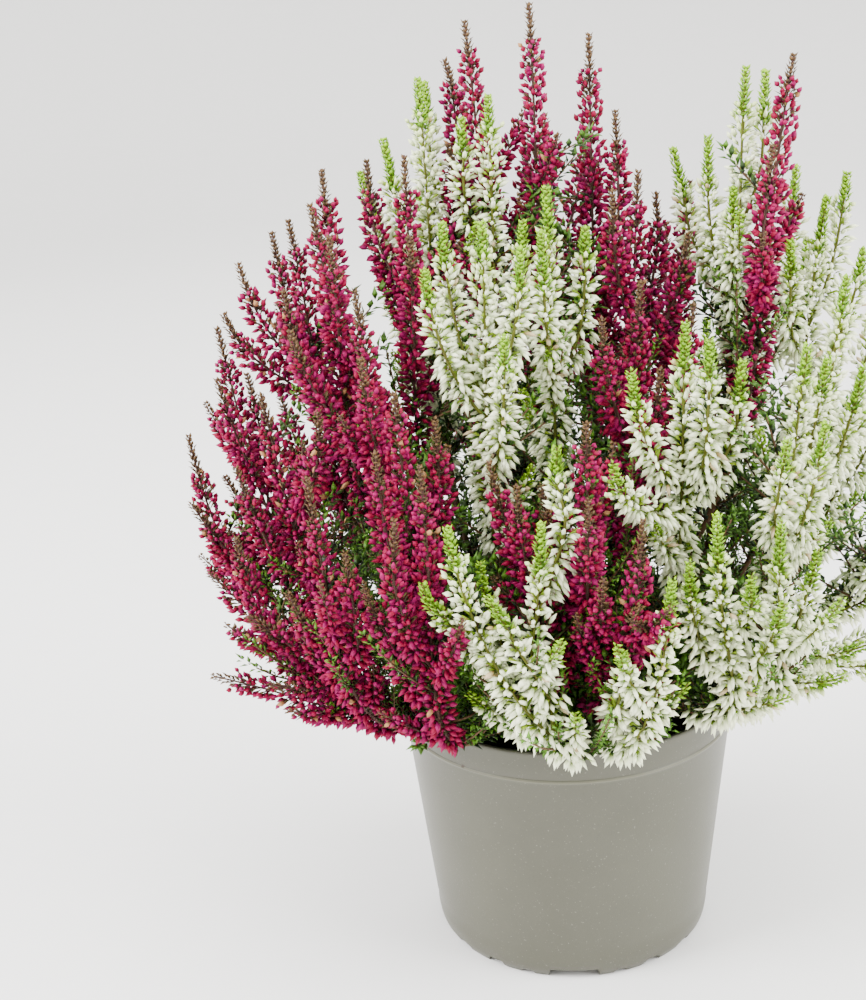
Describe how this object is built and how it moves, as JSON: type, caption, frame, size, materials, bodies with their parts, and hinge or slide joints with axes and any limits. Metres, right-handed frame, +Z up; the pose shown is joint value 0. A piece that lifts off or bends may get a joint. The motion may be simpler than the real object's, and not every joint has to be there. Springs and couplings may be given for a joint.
{
  "type": "potted heather",
  "caption": "Potted heather: upright crimson and white flowering sprays on leafy stems that fan out over the rim of a round tapered plastic grower's pot with a notched foot.",
  "frame": {"origin": "centre of the overall bounding box in X and Y, on the pot's axis, at the surface the pot stands on", "axes": "+Z up along the pot's axis; -Y towards the side that the picture shows; +X to its right"},
  "size_m": [0.2592, 0.2006, 0.33],
  "materials": {
    "pot": "matte warm grey, faint moulding lines",
    "potting_soil": "moist crumbly peat",
    "leafy_stems": "thin brown stems in dark green scale leaves",
    "crimson_sprays": "papery crimson florets, olive brown tips",
    "white_sprays": "papery white florets, lime green tips"
  },
  "bodies": {
    "root": {"pot": "pot", "potting_soil": "potting_soil", "crimson_left_stems": "leafy_stems", "crimson_back_stems": "leafy_stems", "crimson_front_stems": "leafy_stems", "white_right_stems": "leafy_stems", "white_front_stems": "leafy_stems", "white_back_stems": "leafy_stems", "crimson_spray_01": "crimson_sprays", "crimson_spray_02": "crimson_sprays", "crimson_spray_03": "crimson_sprays", "crimson_spray_04": "crimson_sprays", "crimson_spray_05": "crimson_sprays", "crimson_spray_06": "crimson_sprays", "crimson_spray_07": "crimson_sprays", "crimson_spray_08": "crimson_sprays", "crimson_spray_09": "crimson_sprays", "crimson_spray_10": "crimson_sprays", "crimson_spray_11": "crimson_sprays", "crimson_spray_12": "crimson_sprays", "crimson_spray_13": "crimson_sprays", "crimson_spray_14": "crimson_sprays", "crimson_spray_15": "crimson_sprays", "crimson_spray_16": "crimson_sprays", "crimson_spray_17": "crimson_sprays", "crimson_spray_18": "crimson_sprays", "crimson_spray_19": "crimson_sprays", "crimson_spray_20": "crimson_sprays", "crimson_spray_21": "crimson_sprays", "crimson_spray_22": "crimson_sprays", "crimson_spray_23": "crimson_sprays", "crimson_spray_24": "crimson_sprays", "crimson_spray_25": "crimson_sprays", "crimson_spray_26": "crimson_sprays", "crimson_spray_27": "crimson_sprays", "crimson_spray_28": "crimson_sprays", "crimson_spray_29": "crimson_sprays", "white_spray_01": "white_sprays", "white_spray_02": "white_sprays", "white_spray_03": "white_sprays", "white_spray_04": "white_sprays", "white_spray_05": "white_sprays", "white_spray_06": "white_sprays", "white_spray_07": "white_sprays", "white_spray_08": "white_sprays", "white_spray_09": "white_sprays", "white_spray_10": "white_sprays", "white_spray_11": "white_sprays", "white_spray_12": "white_sprays", "white_spray_13": "white_sprays", "white_spray_14": "white_sprays", "white_spray_15": "white_sprays", "white_spray_16": "white_sprays", "white_spray_17": "white_sprays", "white_spray_18": "white_sprays", "white_spray_19": "white_sprays", "white_spray_20": "white_sprays", "white_spray_21": "white_sprays", "white_spray_22": "white_sprays", "white_spray_23": "white_sprays"}
  },
  "joints": []
}
